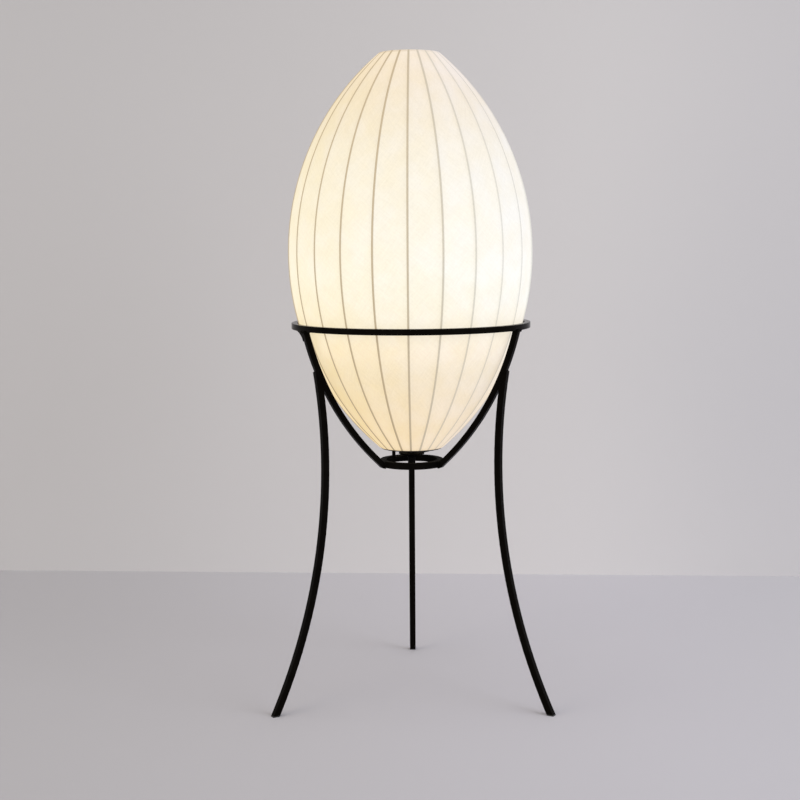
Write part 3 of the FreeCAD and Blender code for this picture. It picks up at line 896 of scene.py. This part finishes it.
# The stand
@dataclass
class Stand:
    """Two rings, three ribs and three legs of square bar, welded together.

    Attributes:
        ring_bead: radius of the weld under the upper ring.
        toe_bead: radius of the weld on the lower ring.
        leg_bead: radius of the weld between a leg and its rib.
        ripple: length of one ripple of a weld.
        swell: how much a bead swells with a ripple, as a share of its radius.
        bead_sides: points round a bead.
        ripple_steps: points along one ripple.
        fillet_length: filler metal along the upper ring, behind each rib.
        fillet_drop: filler metal down each rib, as a share of its length.
        fillet_hollow: how hollow its face is, from 1, flat.
        fillet_width: its width, as a share of the ring's bar.
        fillet_points: points along its face.
        end_slack: how far below a rib's top its end face may reach.
        toe_slack: how far outside the lower ring a rib's toe may lie.
        seat_slack: how far from a rib's outer face a leg's seat may lie.
        seat_width: half width of a rib's outer face that is tested, as a share of the ring's bar.
        least_step: least distance between points of a seat's edge.
    """

    ring_bead: float = 2.0 * MM
    toe_bead: float = 1.5 * MM
    leg_bead: float = 0.8 * MM
    ripple: float = 1.9 * MM
    swell: float = 0.12
    bead_sides: int = 10
    ripple_steps: int = 5
    fillet_length: Mapping[Side, float] = field(
        default_factory=lambda: {Side.LEFT: 29 * MM, Side.RIGHT: 14 * MM, Side.BACK: 20 * MM}
    )
    fillet_drop: float = 0.55
    fillet_hollow: float = 1.5
    fillet_width: float = 0.8
    fillet_points: int = 17
    end_slack: float = 0.05 * MM
    toe_slack: float = 0.06 * MM
    seat_slack: float = 0.12 * MM
    seat_width: float = 0.35
    least_step: float = 0.1 * MM

    def __post_init__(self) -> None:
        """Reads the upper ring's bar from the frame."""
        low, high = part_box("upper_ring")
        self.bar = high.z - low.z
        self.underside = low.z
        self.ring_radius = high.x - self.bar / 2

    def dress(self) -> None:
        """Gives the bars and pads their finishes."""
        POWDER_COAT.dress("upper_ring")
        MATT_COAT.dress("lower_ring")
        for side in Side:
            POWDER_COAT.dress("cradle_rib_" + side.value, "leg_" + side.value)
            FOOT_RUBBER.dress("foot_pad_" + side.value)

    def build(self) -> None:
        """Adds the welds."""
        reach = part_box("lower_ring")[1].x + self.toe_slack
        for side in Side:
            rib = self._points("cradle_rib_" + side.value)
            rib_middle = sum(rib, Vector()) / len(rib)
            top = max(point.z for point in rib) - self.end_slack
            beads = {
                "ring": ([p for p in rib if p.z > top], self.ring_bead),
                "toe": ([p for p in rib if math.hypot(p.x, p.y) < reach], self.toe_bead),
                "leg": (self._seat(side, rib_middle), self.leg_bead),
            }
            for spot, (seat, radius) in beads.items():
                self._weld("weld_%s_%s" % (spot, side.value), seat, radius)
            self._fillet(side, rib_middle)

    @staticmethod
    def _points(node: str) -> List[Vector]:
        """Corners of a CAD node's mesh."""
        return [vertex.co.copy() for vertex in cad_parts[node].data.vertices]

    def _seat(self, side: Side, rib_middle: Vector) -> List[Vector]:
        """Points of a leg that lie against its rib.

        Args:
            side: the leg's side.
            rib_middle: middle of the rib.

        Returns:
            The points whose level on the rib's outer face is the face itself, also past its edges.
        """
        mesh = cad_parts["cradle_rib_" + side.value].data
        faces = [tuple(polygon.vertices) for polygon in mesh.polygons]
        surface = BVHTree.FromPolygons([vertex.co for vertex in mesh.vertices], faces)
        across = Vector((-rib_middle.y, rib_middle.x, 0.0)).normalized()
        face = self.seat_width * self.bar
        seat: List[Vector] = []
        for point in self._points("leg_" + side.value):
            shift = point.dot(across)
            on_face = point + across * (max(-face, min(face, shift)) - shift)
            if surface.find_nearest(on_face)[3] < self.seat_slack:
                seat.append(point)
        return seat

    def _loop(self, name: str, seat: Sequence[Vector]) -> bpy.types.Mesh:
        """A closed path through the points of a seat, in order round its middle.

        Args:
            name: name of the mesh.
            seat: the points.

        Returns:
            The path, as a mesh of edges.
        """
        middle = sum(seat, Vector()) / len(seat)
        across = Vector((-middle.y, middle.x, 0.0)).normalized()
        arms = [point - middle for point in seat]
        spread = max(arms, key=lambda arm: (arm - across * arm.dot(across)).length)
        along = (spread - across * spread.dot(across)).normalized()
        turned = sorted(seat, key=lambda p: math.atan2((p - middle).dot(along), (p - middle).dot(across)))
        points: List[Vector] = []
        for point in turned:
            if not points or (point - points[-1]).length > self.least_step:
                points.append(point)
        mesh = bpy.data.meshes.new(name)
        mesh.from_pydata(points, [(i, (i + 1) % len(points)) for i in range(len(points))], [])
        return mesh

    def _weld(self, name: str, seat: Sequence[Vector], radius: float) -> None:
        """Runs a rippled bead round the edge of a seat.

        Args:
            name: name of the piece.
            seat: points on the edge where one bar meets another.
            radius: radius of the bead.
        """
        tree = ShapeTree(name)
        bead = tree.size("Bead Radius", radius)
        ripple = tree.size("Ripple", self.ripple)
        path = tree.add("GeometryNodeMeshToCurve", {"Mesh": tree.start}).outputs[0]
        steps = {"Curve": path, "Length": self.ripple / self.ripple_steps}
        even = tree.add("GeometryNodeResampleCurve", steps, mode="LENGTH").outputs[0]
        along = Term(tree, tree.add("GeometryNodeSplineParameter", {}).outputs["Length"])
        size = bead * (tree.math("SINE", along / ripple * TURN) * self.swell + 1.0)
        sized = tree.add("GeometryNodeSetCurveRadius", {"Curve": even, "Radius": size}).outputs[0]
        round_bead = {"Resolution": self.bead_sides, "Radius": 1.0}
        ring = tree.add("GeometryNodeCurvePrimitiveCircle", round_bead).outputs[0]
        tube = tree.add("GeometryNodeCurveToMesh", {"Curve": sized, "Profile Curve": ring})
        if "Scale" in tube.inputs:
            tree.feed(tube.inputs["Scale"], size)
        piece = tree.run(tube.outputs[0], POWDER_COAT.material(), self._loop(name, seat))
        place(piece, Body.STAND, "stand_black")

    def _fillet(self, side: Side, rib_middle: Vector) -> None:
        """Fills the corner between the upper ring and the side of a rib that faces away from the front.

        Args:
            side: the rib's side.
            rib_middle: middle of the rib.
        """
        length = self.fillet_length[side]
        tree = ShapeTree("ring_fillet_" + side.value)
        along = tree.size("Along Ring", length)
        down = tree.size("Down Rib", length * self.fillet_drop)
        thick = tree.size("Thickness", self.fillet_width * self.bar)
        radius = tree.size("Ring Radius", self.ring_radius)
        underside = tree.size("Underside", self.underside)
        rib_face = tree.size("Rib Face", self.bar / 2)
        hollow = tree.size("Hollow", self.fillet_hollow)
        mesh, u, v = tree.grid(self.fillet_points, 2)
        reach = rib_face + along * tree.math("POWER", u, hollow) * v
        drop = underside - down * tree.math("POWER", 1.0 - u, hollow) * v
        sheet = tree.merge(tree.move(mesh, radius - thick / 2.0, reach, drop))
        across = tree.add("ShaderNodeCombineXYZ", {0: thick}).outputs[0]
        block = tree.add("GeometryNodeExtrudeMesh", {"Mesh": sheet, "Offset": across, "Individual": False})
        base = tree.add("GeometryNodeFlipFaces", {"Mesh": sheet})
        whole = tree.join(block.outputs[0], base.outputs[0])
        x, y, z = tree.position()
        towards_back = -1.0 if side is Side.LEFT else 1.0
        turn = y / radius * towards_back + math.atan2(rib_middle.y, rib_middle.x)
        piece = tree.run(tree.wrap(whole, turn, x, z), POWDER_COAT.material(), smooth=False)
        face_outwards(piece)
        place(piece, Body.STAND, "stand_black")


# The shade
@dataclass
class Shade:
    """Skin, wires and hoops, with sizes read from the frame.

    Attributes:
        wire_turn: azimuth of one wire, near the front.
        skin: thickness of the skin.
        clearance: wire to skin.
        dip: how far a panel draws in past flat between two wires.
        ridge: height of the fold that the skin makes over a wire.
        ridge_width: half width of that fold.
        panel_points: points across one panel.
        gather: how far these points gather at the wires.
        rows: points from rim to rim.
        roll_rows: points round the upper hoop.
        roll_turn: how far the skin rolls over the upper hoop.
        edge: lower edge of the skin above the lower hoop's middle.
        fade: length over which panels turn round towards a hoop.
        blob: radius of a wire's weld, in radii of the wire.
        blob_sides: points round a blob.
        blob_rings: rows of faces on a blob.
        wires: nodes of the wires.
    """

    wire_turn: float = math.radians(268.8)
    skin: float = 0.6 * MM
    clearance: float = 0.2 * MM
    dip: float = 0.2 * MM
    ridge: float = 1.9 * MM
    ridge_width: float = 2.0 * MM
    panel_points: int = 14
    gather: float = 0.14
    rows: int = 130
    roll_rows: int = 10
    roll_turn: float = math.radians(205)
    edge: float = 0.9 * MM
    fade: float = 45 * MM
    blob: float = 1.25
    blob_sides: int = 8
    blob_rings: int = 6
    wires: List[str] = field(
        default_factory=lambda: [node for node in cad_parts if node.startswith("shade_wire_")]
    )

    def __post_init__(self) -> None:
        """Reads the shape of the shade from the hoops and the wires."""
        low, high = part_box("shade_bottom_hoop")
        self.wire_radius = (high.z - low.z) / 2
        self.hoop_radius = (high.x - low.x) / 2 - self.wire_radius
        self.low_hoop = (low.z + high.z) / 2
        self.high_hoop = sum(corner.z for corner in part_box("shade_top_hoop")) / 2
        self.equator = (self.low_hoop + self.high_hoop) / 2
        reach = 0.0
        for name in self.wires:
            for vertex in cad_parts[name].data.vertices:
                reach = max(reach, math.hypot(vertex.co.x, vertex.co.y))
        rise = self.high_hoop - self.equator
        sag = reach - self.wire_radius - self.hoop_radius
        self.bend = (rise ** 2 + sag ** 2) / (2 * sag)
        self.centre = reach - self.wire_radius - self.bend
        self.end_angle = math.asin(rise / self.bend)
        self.offset = self.wire_radius + self.clearance + self.skin

    def dress(self) -> None:
        """Gives the wires and hoops their finish."""
        FRAME_WIRE.dress("shade_bottom_hoop", "shade_top_hoop", *self.wires)

    def finish(self) -> LitSkin:
        """Finish of the skin, with its lines over the wires.

        Returns:
            The finish.
        """
        return LitSkin(
            colour=(0.22, 0.21, 0.185),
            glow=(
                (0.0, (0.79, 0.622, 0.396)),
                (0.2, (0.73, 0.606, 0.413)),
                (0.275, (0.79, 0.681, 0.503)),
                (0.385, (0.77, 0.72, 0.59)),
                (0.5, (0.75, 0.71, 0.61)),
                (0.765, (0.675, 0.613, 0.498)),
                (0.895, (0.645, 0.552, 0.426)),
                (1.0, (0.665, 0.556, 0.436)),
            ),
            wire_count=len(self.wires),
            first_wire=self.wire_turn,
            line_glow=(0.27, 0.2, 0.11),
            # Painted light: this line glow and the colour change two lines below paint cooler, brighter light
            # on one side.
            daylit_line_glow=(0.17, 0.22, 0.237),
            line_colour=(0.22, 0.185, 0.13),
            painted_daylight=(-0.022, 0.011, 0.09),
            low=self.low_hoop,
            high=self.high_hoop,
        )

    def build(self) -> None:
        """Makes the skin and the welds of the wires."""
        self._build_skin()
        self._build_wire_welds()

    def _build_skin(self) -> None:
        """One sheet from hoop to hoop, drawn over the wires and rolled over the upper hoop."""
        count = len(self.wires)
        tree = ShapeTree("shade_cover")
        panels = tree.size("Wires", count)
        first = tree.size("First Wire", self.wire_turn)
        bend = tree.size("Wire Bend", self.bend)
        centre = tree.size("Bend Centre", self.centre)
        middle = tree.size("Equator", self.equator)
        end = tree.size("End Angle", self.end_angle)
        offset = tree.size("Skin Offset", self.offset)
        dip = tree.size("Panel Dip", self.dip)
        ridge = tree.size("Ridge Height", self.ridge)
        ridge_width = tree.size("Ridge Half Width", self.ridge_width)
        edge = tree.size("Lower Edge", self.edge)
        roll = tree.size("Roll", self.roll_turn)
        fade = tree.size("Fade", self.fade)
        mesh, u, v = tree.grid(count * self.panel_points + 1, self.rows + self.roll_rows + 1)
        row = v * (self.rows + self.roll_rows)
        climb = tree.math("MINIMUM", row / self.rows, 1.0)
        rolled = tree.math("MAXIMUM", (row - self.rows) / self.roll_rows, 0.0)
        length = bend * end * 2.0
        start = (offset * tree.math("SINE", end) + edge) / tree.math("COSINE", end)
        travel = start + climb * (length - start)
        angle = travel / bend - end
        curl = angle + rolled * roll
        panel = u * panels
        whole = tree.math("FLOOR", panel)
        share = panel - whole
        even = share - tree.math("SINE", share * TURN) * self.gather
        azimuth = first + (whole + even) / panels * TURN
        pitch = TURN / count
        chord = tree.math("DIVIDE", math.cos(pitch / 2), tree.math("COSINE", (even - 0.5) * pitch))
        slack = tree.ease(travel, 0.0, fade) * tree.ease(length - travel, 0.0, fade)
        x = centre + bend * tree.math("COSINE", angle) + offset * tree.math("COSINE", curl)
        z = middle + bend * tree.math("SINE", angle) + offset * tree.math("SINE", curl)
        gap = tree.math("MINIMUM", even, 1.0 - even) * x * pitch / ridge_width
        drop = 1.0 - tree.math("EXPONENT", gap * gap * -1.0)
        hollow = tree.math("SINE", even * math.pi) * dip + drop * ridge
        radius = x * (1.0 - slack * (1.0 - chord)) - slack * hollow
        piece = tree.run(tree.wrap(mesh, azimuth, radius, z), self.finish().material())
        wall = piece.modifiers.new("Wall", "SOLIDIFY")
        wall.thickness = self.skin
        wall.offset = -1.0
        freeze(piece)
        place(piece, Body.SHADE, "shade_skin", "shade_skin")
        width = TURN * (self.centre + self.bend + self.offset)
        height = 2 * self.end_angle * self.bend + self.roll_turn * self.offset

    def _build_wire_welds(self) -> None:
        """A small blob of weld where each wire meets a hoop."""
        tree = ShapeTree("wire_welds")
        count = tree.size("Wires", len(self.wires))
        hoop = tree.size("Hoop Radius", self.hoop_radius)
        blob = tree.size("Blob Radius", self.blob * self.wire_radius)
        first = tree.size("First Wire", self.wire_turn)
        circle = tree.add("GeometryNodeMeshCircle", {"Vertices": count, "Radius": hoop}).outputs[0]
        turn = tree.add("ShaderNodeCombineXYZ", {2: first}).outputs[0]
        turned = tree.add("GeometryNodeTransform", {"Geometry": circle, "Rotation": turn}).outputs[0]
        sphere = {"Segments": self.blob_sides, "Rings": self.blob_rings, "Radius": blob}
        ball = tree.add("GeometryNodeMeshUVSphere", sphere).outputs[0]
        blobs = [tree.copies(tree.lift(turned, height), ball) for height in (self.high_hoop, self.low_hoop)]
        place(tree.run(tree.join(*blobs), FRAME_WIRE.material()), Body.SHADE, "frame_wire")


# The fittings inside the shade
@dataclass
class Fittings:
    """Strap, plate, threaded stem, lampholder and bulb.

    Attributes:
        stem_pitch: pitch of the stem's thread.
        stem_depth: depth of the stem's thread.
        stem_bore: radius of the stem's bore.
        thread_sides: points round the stem.
        rows_per_turn: points along one turn of thread.
        nut_sides: flats round a nut.
        nut_chamfer: height of the chamfer on a nut's corners.
        nut_points: points along one side of a nut.
        grips: grip ribs round the lampholder.
        grip_width: width of a grip rib.
        grip_height: its height, as a share of the lampholder's body.
        grip_sides: points round a grip rib.
        cap_pitch: pitch of the bulb's thread.
        cap_ridge: radius of the bulb's rolled thread.
        cap_proud: how far that thread stands out of the cap.
        cap_margin: plain stretch at each end of the cap.
        cap_points: points along one turn of that thread.
        cap_sides: points round it.
    """

    stem_pitch: float = 1.5 * MM
    stem_depth: float = 0.45 * MM
    stem_bore: float = 3.5 * MM
    thread_sides: int = 28
    rows_per_turn: int = 6
    nut_sides: int = 6
    nut_chamfer: float = 0.6 * MM
    nut_points: int = 4
    grips: int = 30
    grip_width: float = 1.7 * MM
    grip_height: float = 0.72
    grip_sides: int = 8
    cap_pitch: float = 3.6286 * MM
    cap_ridge: float = 0.55 * MM
    cap_proud: float = 0.3 * MM
    cap_margin: float = 2.5 * MM
    cap_points: int = 40
    cap_sides: int = 8

    def dress(self) -> None:
        """Gives the fittings their finishes."""
        BLACK_FITTING.dress("holder_strap", "holder_plate")
        PLATED_STEEL.dress("holder_grub_screw", "stem_tube")
        BUSH_PLASTIC.dress("cord_bush")
        TERMINAL_BRASS.dress("holder_centre_contact", "holder_terminal_screws")
        HOLDER_PLASTIC.dress("holder_cap", "holder_body")
        HOLDER_CERAMIC.dress("holder_core")
        THREAD_SHELL.dress("holder_thread_shell")
        BULB_TIP.dress("bulb_tip_contact")
        BULB_INSULATOR.dress("bulb_cap_insulator")
        BULB_CAP.dress("bulb_cap_shell")
        BULB_HOUSING.dress("bulb_housing")
        CIRCUIT_BOARD.dress("bulb_driver_board")
        LIGHT_BOARD.dress("bulb_light_board")
        OPAL_GLOBE.dress("bulb_globe")

    def build(self) -> None:
        """Adds the threads, the nuts and the lampholder's grip."""
        self._build_stem()
        self._build_nuts()
        self._build_grips()
        self._build_bulb_thread()

    def _build_stem(self) -> None:
        """Tube with a thread from end to end, which stands for the smooth one."""
        low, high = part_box("stem_tube")
        turns = (high.z - low.z) / self.stem_pitch
        rows = int(turns * self.rows_per_turn)
        tree = ShapeTree("threaded_stem")
        outer = tree.size("Outer Radius", (high.x - low.x) / 2)
        bore = tree.size("Bore Radius", self.stem_bore)
        depth = tree.size("Thread Depth", self.stem_depth)
        bottom = tree.size("Bottom", low.z)
        length = tree.size("Length", high.z - low.z)
        twist = tree.size("Turns", turns)
        # Three more rows close the tube: in at the top, down the bore and out at the bottom.
        mesh, u, v = tree.grid(self.thread_sides + 1, rows + 4)
        row = v * (rows + 3)
        climb = tree.math("MINIMUM", row / rows, 1.0)
        inward = tree.limited(row - rows, 0.0, 1.0) - tree.limited(row - (rows + 2), 0.0, 1.0)
        fall = tree.limited(row - (rows + 1), 0.0, 1.0)
        run_in = tree.ease(climb * length, 0.0, self.stem_pitch)
        run_out = tree.ease((1.0 - climb) * length, 0.0, self.stem_pitch)
        wave = tree.math("COSINE", (climb * twist - u) * TURN) * 0.5 - 0.5
        crest = outer + wave * depth * (run_in * run_out)
        radius = crest + inward * (bore - crest)
        shape = tree.wrap(mesh, u * TURN, radius, bottom + (climb - fall) * length)
        place(tree.run(shape, PLATED_STEEL.material()), Body.SHADE, "plated_steel", "stem_tube")

    def _build_nuts(self) -> None:
        """Blackened nuts with chamfered corners, which stand for the plain ones."""
        low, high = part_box("stem_nuts")
        stem_low, stem_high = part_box("stem_tube")
        plate_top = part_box("holder_plate")[1].z
        tree = ShapeTree("stem_lock_nuts")
        flats = tree.size("Half Across Flats", (high.x - low.x) / 2 * math.cos(math.pi / self.nut_sides))
        bore = tree.size("Bore Radius", (stem_high.x - stem_low.x) / 2)
        thick = tree.size("Height", high.z - plate_top)
        chamfer = tree.size("Chamfer", self.nut_chamfer)
        last_row = 6
        mesh, u, v = tree.grid(self.nut_sides * self.nut_points + 1, last_row + 1)
        turn = u * self.nut_sides
        share = turn - tree.math("FLOOR", turn) - 0.5
        corner = flats / tree.math("COSINE", share * (TURN / self.nut_sides))
        row = v * last_row
        radius = tree.profile(row, (bore, flats, corner, corner, flats, bore, bore))
        height = tree.profile(row, (0.0, 0.0, chamfer, thick - chamfer, thick, thick, 0.0))
        nut = tree.wrap(mesh, u * TURN, radius, height)
        pair = tree.join(tree.lift(nut, low.z), tree.lift(nut, plate_top))
        piece = tree.run(pair, BLACK_FITTING.material(), smooth=False)
        face_outwards(piece)
        place(piece, Body.SHADE, "black_fittings", "stem_nuts")

    def _build_grips(self) -> None:
        """Upright ribs round the lampholder's body."""
        low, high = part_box("holder_body")
        tree = ShapeTree("holder_grips")
        count = tree.size("Ribs", self.grips)
        radius = tree.size("Body Radius", (high.x - low.x) / 2)
        ring = tree.add("GeometryNodeMeshCircle", {"Vertices": count, "Radius": radius}).outputs[0]
        sizes = {
            "Vertices": self.grip_sides,
            "Side Segments": 1,
            "Radius": self.grip_width / 2,
            "Depth": self.grip_height * (high.z - low.z),
        }
        rib = tree.add("GeometryNodeMeshCylinder", sizes).outputs[0]
        ribs = tree.copies(tree.lift(ring, (low.z + high.z) / 2), rib)
        place(tree.run(ribs, HOLDER_PLASTIC.material()), Body.SHADE, "holder_plastic")

    def _build_bulb_thread(self) -> None:
        """Rolled thread round the bulb's cap."""
        low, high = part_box("bulb_cap_shell")
        rise = high.z - low.z - 2 * self.cap_margin
        tree = ShapeTree("bulb_cap_thread")
        cap = tree.size("Cap Radius", (high.x - low.x) / 2 - self.cap_ridge + self.cap_proud)
        ridge = tree.size("Ridge Radius", self.cap_ridge)
        turns = tree.size("Turns", rise / self.cap_pitch)
        coil = {
            "Resolution": self.cap_points,
            "Rotations": turns,
            "Start Radius": cap,
            "End Radius": cap,
            "Height": rise,
        }
        helix = tree.add("GeometryNodeCurveSpiral", coil).outputs[0]
        lifted = tree.lift(helix, low.z + self.cap_margin)
        circle = {"Resolution": self.cap_sides, "Radius": ridge}
        ring = tree.add("GeometryNodeCurvePrimitiveCircle", circle).outputs[0]
        sweep = {"Curve": lifted, "Profile Curve": ring, "Fill Caps": True}
        tube = tree.add("GeometryNodeCurveToMesh", sweep).outputs[0]
        place(tree.run(tube, BULB_CAP.material()), Body.BULB, "bulb_cap")


# The room
@dataclass(frozen=True)
class RoomPaint:
    """Plain matt paint of the floor or the wall, which evens out the light on it and is clear from behind.

    Attributes:
        name: name of the material.
        left: colour at the left, linear.
        middle: colour a little right of the lamp.
        right: colour at the right.
        upward: share of brightness that it gains over a metre of height.
        backward: share of brightness that it gains over a metre towards the wall.
        left_limits: where the left colour ends and the middle one is full, along X.
        right_limits: where the middle colour ends and the right one is full.
        height_limits: heights between which brightness changes.
        depth_limits: places along Y between which it changes.
        patch_size: size of the paint's patches.
        patch_shift: how far a patch shifts the colour's place.
        roughness: roughness.
        specular: reflection level.
    """

    name: str
    left: Colour
    middle: Colour
    right: Colour
    upward: float = 0.0
    backward: float = 0.0
    left_limits: Limits = (-0.95, 0.45)
    right_limits: Limits = (0.4, 0.95)
    height_limits: Limits = (0.0, 2.0)
    depth_limits: Limits = (-1.0, 1.0)
    patch_size: float = 0.6
    patch_shift: float = 0.1
    roughness: float = 0.9
    specular: float = 0.1

    def material(self) -> Material:
        """Builds the material.

        Returns:
            The material.
        """
        material, graph, shader = new_material(self.name)
        where = graph.where()
        x, y, z = graph.axes(where)
        spot = x + (graph.noise(where, self.patch_size, detail=2.0) - 0.5) * self.patch_shift
        inner = graph.mix(graph.ease(spot, *self.left_limits), opaque(self.left), opaque(self.middle))
        colour = graph.mix(graph.ease(spot, *self.right_limits), inner, opaque(self.right))
        rise = graph.limited(z, *self.height_limits) * self.upward
        slope = rise + graph.limited(y, *self.depth_limits) * self.backward
        looks = {
            "Base Color": graph.scaled(colour, slope + 1.0),
            "Roughness": self.roughness,
            "Specular IOR Level": self.specular,
        }
        graph.fill(shader, looks)
        behind = graph.add("ShaderNodeNewGeometry", {}).outputs["Backfacing"]
        clear = graph.add("ShaderNodeBsdfTransparent", {}).outputs[0]
        shown = graph.add("ShaderNodeMixShader", {0: behind, 1: shader.outputs[0], 2: clear}).outputs[0]
        graph.feed(graph.tree.get_output_node("ALL").inputs["Surface"], shown)
        return material


FLOOR_PAINT = RoomPaint(
    "floor_paint", (0.413, 0.406, 0.427), (0.483, 0.473, 0.51), (0.471, 0.464, 0.492), backward=0.16
)
WALL_PAINT = RoomPaint(
    "wall_paint", (0.523, 0.516, 0.533), (0.59, 0.578, 0.589), (0.535, 0.523, 0.537), upward=-0.13
)


@dataclass(frozen=True)
class Softbox:
    """A square soft light that faces the middle of the lamp.

    Attributes:
        name: name of the light.
        spot: its place.
        power: its power in watts.
        colour: its colour.
        side: length of its side.
        aim: the place that it faces.
    """

    name: str
    spot: Point
    power: float
    colour: Colour
    side: float = 2.0
    aim: Point = (0.0, 0.0, 0.55)

    def build(self) -> None:
        """Makes the light."""
        light = bpy.data.lights.new(self.name, "AREA")
        light.size = self.side
        light.energy = self.power
        light.color = self.colour
        lamp = add_object(self.name, light)
        lamp.location = self.spot
        ahead = Vector(self.aim) - Vector(self.spot)
        lamp.rotation_euler = ahead.to_track_quat("-Z", "Y").to_euler()


KEY_LIGHT = Softbox("key_light", (2.3, -1.6, 1.7), 40.0, (0.95, 0.98, 1.07))
FILL_LIGHT = Softbox("fill_light", (-2.3, -1.8, 1.6), 28.0, (1.0, 0.88, 0.7))


@dataclass
class Studio:
    """Floor, wall, lights and camera.

    Attributes:
        wall_distance: wall behind the lamp's axis.
        wall_turn: how far the wall turns from square to the front.
        reach: how far the floor and the wall run on.
        eye: the camera's place.
        pitch: how far the camera looks down.
        yaw: how far it turns to the right.
        roll: how far it leans.
        lens: its focal length, in millimetres.
        sensor: width of its sensor, in millimetres.
        daylight: colour of the even light all round.
        backdrop: colour that shows where the floor and the wall end.
    """

    wall_distance: float = 0.899
    wall_turn: float = math.radians(-3.16)
    reach: float = 4.0
    eye: Point = (0.0, -2.5234, 0.8044)
    pitch: float = math.radians(6.521)
    yaw: float = math.radians(-0.442)
    roll: float = math.radians(-0.399)
    lens: float = 66.44
    sensor: float = 36.0
    daylight: Colour = (1.0, 0.985, 0.97)
    backdrop: Colour = (0.56, 0.55, 0.55)

    def build(self) -> None:
        """Makes the room."""
        self._surfaces()
        self._lights()
        self._camera()

    def _surfaces(self) -> None:
        """A floor and a wall."""
        wide = self.reach
        left = self.wall_distance - wide * math.tan(self.wall_turn)
        right = self.wall_distance + wide * math.tan(self.wall_turn)
        corners = {
            "floor": ((-wide, -wide, 0), (wide, -wide, 0), (wide, right, 0), (-wide, left, 0)),
            "wall": ((-wide, left, 0), (wide, right, 0), (wide, right, wide), (-wide, left, wide)),
        }
        for name, paint in (("floor", FLOOR_PAINT), ("wall", WALL_PAINT)):
            mesh = bpy.data.meshes.new(name)
            mesh.from_pydata(corners[name], [], [(0, 1, 2, 3)])
            mesh.materials.append(paint.material())
            surface = add_object(name, mesh)

    def _lights(self) -> None:
        """Even light all round, a soft key light over the right shoulder and a warmer fill from the left."""
        world = bpy.data.worlds.new("even_light")
        world.use_nodes = True
        world.node_tree.nodes.clear()
        graph = Graph(world.node_tree)
        light = graph.add("ShaderNodeBackground", {"Color": opaque(self.daylight)}).outputs[0]
        backdrop = graph.add("ShaderNodeBackground", {"Color": opaque(self.backdrop)}).outputs[0]
        ray = graph.add("ShaderNodeLightPath", {}).outputs
        mirrored = graph.math("MAXIMUM", ray["Is Glossy Ray"], ray["Is Transmission Ray"])
        seen = graph.math("MAXIMUM", ray["Is Camera Ray"], mirrored)
        both = graph.add("ShaderNodeMixShader", {0: seen, 1: light, 2: backdrop}).outputs[0]
        graph.add("ShaderNodeOutputWorld", {"Surface": both})
        bpy.context.scene.world = world
        for softbox in (KEY_LIGHT, FILL_LIGHT):
            softbox.build()

    def _camera(self) -> None:
        """The camera at the photograph's place and angle."""
        ahead = Vector((
            math.sin(self.yaw) * math.cos(self.pitch),
            math.cos(self.yaw) * math.cos(self.pitch),
            -math.sin(self.pitch),
        ))
        level = Vector((math.cos(self.yaw), -math.sin(self.yaw), 0.0))
        upright = level.cross(ahead)
        right = level * math.cos(self.roll) + upright * math.sin(self.roll)
        up = upright * math.cos(self.roll) - level * math.sin(self.roll)
        data = bpy.data.cameras.new("photo_camera")
        data.lens = self.lens
        data.sensor_width = self.sensor
        camera = add_object("photo_camera", data)
        axes = Matrix((right, up, -ahead)).transposed().to_4x4()
        camera.matrix_world = Matrix.Translation(self.eye) @ axes
        bpy.context.scene.camera = camera


def main() -> None:
    """Builds and dresses the lamp, then its room."""
    logging.basicConfig(level=logging.INFO, format="%(name)s: %(message)s")
    bpy.context.scene.view_settings.view_transform = "Standard"
    for assembly in (Stand(), Shade(), Fittings()):
        assembly.dress()
        assembly.build()
    Studio().build()


if __name__ == "__main__":
    main()
